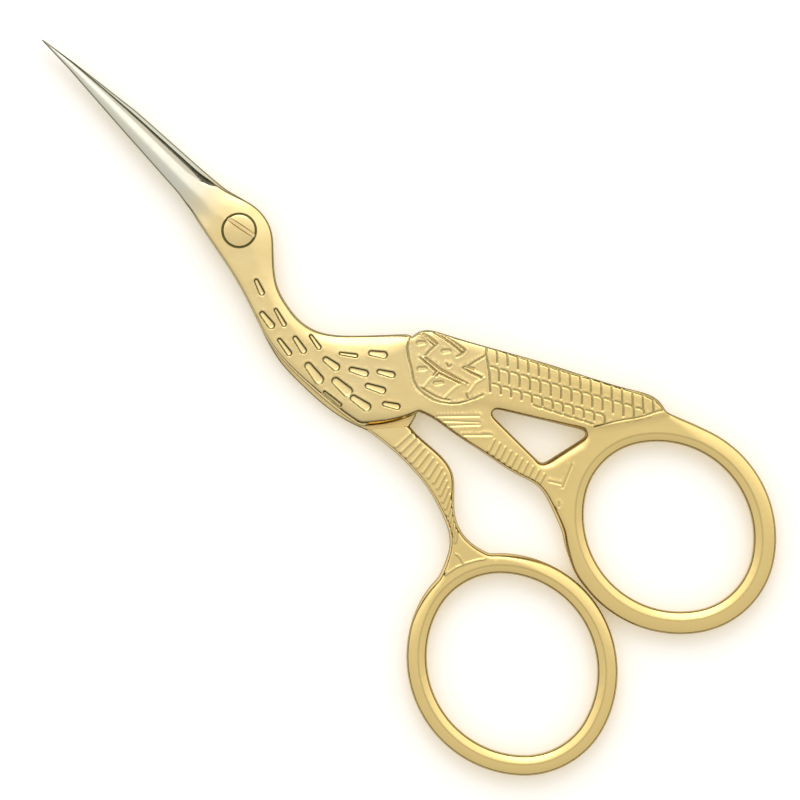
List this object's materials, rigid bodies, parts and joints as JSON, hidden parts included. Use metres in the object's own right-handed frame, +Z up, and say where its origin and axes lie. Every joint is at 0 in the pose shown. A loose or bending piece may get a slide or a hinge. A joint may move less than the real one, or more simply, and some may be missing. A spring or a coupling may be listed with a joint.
{
  "type": "embroidery scissors",
  "caption": "Stork-shaped embroidery scissors: gilt halves on a pivot screw, with bare steel blades as the beak and oval finger bows.",
  "frame": {"origin": "on the pivot axis, at the flat underside the closed scissors rest on", "axes": "+X along the beak to its tip, +Y to the throat and breast side, +Z up along the pivot axis"},
  "size_m": [0.115, 0.0529, 0.0038],
  "materials": {
    "front_gilt_steel": "polished gold plating on bird, leg and bow; bare ground steel on the blade",
    "rear_gilt_steel": "polished gold plating on bird, leg and bow; bare ground steel on the blade",
    "gilt_screw": "turned slotted head, gold plated"
  },
  "bodies": {
    "rear": {"rear_half": "rear_gilt_steel", "pivot_screw": "gilt_screw"},
    "front": {"front_half": "front_gilt_steel"}
  },
  "joints": [
    {"name": "pivot", "type": "hinge", "parent": "rear", "child": "front", "pos_m": [0, 0, 0.0019], "axis": [0, 0, 1], "range_deg": [0, 150]}
  ]
}
